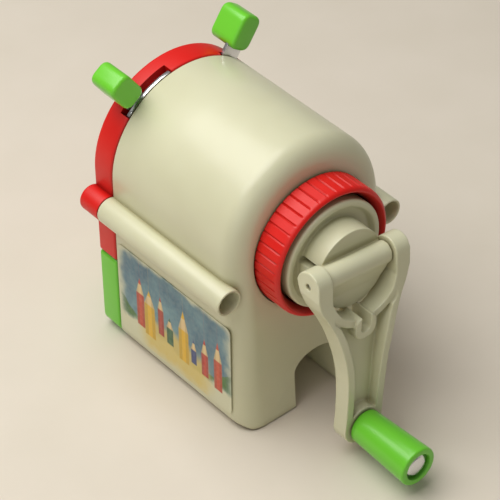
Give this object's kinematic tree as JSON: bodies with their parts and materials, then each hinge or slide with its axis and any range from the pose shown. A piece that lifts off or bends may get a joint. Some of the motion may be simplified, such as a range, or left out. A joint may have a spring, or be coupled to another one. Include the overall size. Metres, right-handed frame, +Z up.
{
  "type": "crank pencil sharpener",
  "caption": "Desk pencil sharpener with a folding crank, knurled lock ring, sliding pencil chuck with two squeeze tabs, side guide tubes and a shavings drawer.",
  "frame": {"origin": "on the table, under the middle of the closed body", "axes": "+Z up, -Y towards the crank, +Y towards the pencil end, +X to the right when looking along +Y"},
  "size_m": [0.0752, 0.1265, 0.1042],
  "materials": {
    "cream": "cream plastic",
    "red": "red plastic",
    "green": "green plastic",
    "steel": "steel",
    "brass": "brass",
    "nylon": "nylon",
    "rubber": "rubber",
    "label": "label"
  },
  "bodies": {
    "body": {"housing": "cream", "base_pad": "rubber", "side_label_left": "label", "side_label_right": "label", "bulkhead": "nylon", "ring_gear": "nylon", "bulkhead_screw_1": "steel", "bulkhead_screw_2": "steel", "bulkhead_screw_3": "steel", "bulkhead_screw_4": "steel"},
    "carrier": {"cutter_carrier": "nylon", "point_stop": "brass", "cutter_axle": "steel", "crank_hub": "cream"},
    "cutter": {"helical_cutter": "steel", "cutter_pinion": "brass"},
    "crank": {"crank_arm": "cream", "hinge_pin": "steel", "knob_axle": "steel"},
    "knob": {"crank_knob": "green"},
    "ring": {"lock_ring": "red"},
    "carriage": {"carriage_plate": "red", "guide_rod_left": "steel", "guide_rod_right": "steel", "rod_stop_left": "steel", "rod_stop_right": "steel", "feed_spring_left": "steel", "feed_spring_right": "steel", "chuck_base_plate": "steel", "chuck_screw_1": "steel", "chuck_screw_2": "steel", "chuck_screw_3": "steel", "jaw_pin_1": "steel", "jaw_pin_2": "steel", "jaw_pin_3": "steel", "fixed_tab": "green", "lever_spring": "steel"},
    "lever": {"cam_ring": "steel", "moving_tab": "green"},
    "jaw_a": {"jaw_1": "brass"},
    "jaw_b": {"jaw_2": "brass"},
    "jaw_c": {"jaw_3": "brass"},
    "drawer": {"drawer": "green"}
  },
  "joints": [
    {"name": "crank_spin", "type": "hinge", "parent": "body", "child": "carrier", "pos_m": [0, -0.0335, 0.0637], "axis": [0, 1, 0], "continuous": true},
    {"name": "cutter_spin", "type": "hinge", "parent": "carrier", "child": "cutter", "pos_m": [0, -0.04786, 0.0637], "axis": [0.0178, 0.9833, 0.181], "continuous": true},
    {"name": "crank_fold", "type": "hinge", "parent": "carrier", "child": "crank", "pos_m": [0.00022, -0.053, 0.06599], "axis": [-0.9952, 0, 0.0976], "range_deg": [0, 150]},
    {"name": "knob_spin", "type": "hinge", "parent": "crank", "child": "knob", "pos_m": [-0.00615, -0.0765, 0.01125], "axis": [0, 1, 0], "continuous": true},
    {"name": "ring_twist", "type": "hinge", "parent": "body", "child": "ring", "pos_m": [0, -0.0365, 0.0637], "axis": [0, 1, 0], "range_deg": [0, 30]},
    {"name": "carriage_slide", "type": "slide", "parent": "body", "child": "carriage", "axis": [0, 1, 0], "range_m": [0, 0.036], "deforming": ["feed_spring_left", "feed_spring_right"]},
    {"name": "grip_lever", "type": "hinge", "parent": "carriage", "child": "lever", "pos_m": [0, 0.0302, 0.0637], "axis": [0, 1, 0], "range_deg": [0, 14], "deforming": ["lever_spring"]},
    {"name": "jaw_1_swing", "type": "hinge", "parent": "carriage", "child": "jaw_a", "pos_m": [0.01472, 0.0323, 0.0722], "axis": [0, 1, 0], "range_deg": [-16, 0.5]},
    {"name": "jaw_2_swing", "type": "hinge", "parent": "carriage", "child": "jaw_b", "pos_m": [0, 0.0323, 0.0467], "axis": [0, 1, 0], "range_deg": [-16, 0.5]},
    {"name": "jaw_3_swing", "type": "hinge", "parent": "carriage", "child": "jaw_c", "pos_m": [-0.01472, 0.0323, 0.0722], "axis": [0, 1, 0], "range_deg": [-16, 0.5]},
    {"name": "drawer_slide", "type": "slide", "parent": "body", "child": "drawer", "axis": [0, 1, 0], "range_m": [0, 0.04]}
  ],
  "couplings": [
    {"joint": "cutter_spin", "follows": "crank_spin", "ratio": -3.4},
    {"joint": "jaw_1_swing", "follows": "grip_lever", "ratio": -1.05},
    {"joint": "jaw_2_swing", "follows": "grip_lever", "ratio": -1.05},
    {"joint": "jaw_3_swing", "follows": "grip_lever", "ratio": -1.05}
  ]
}
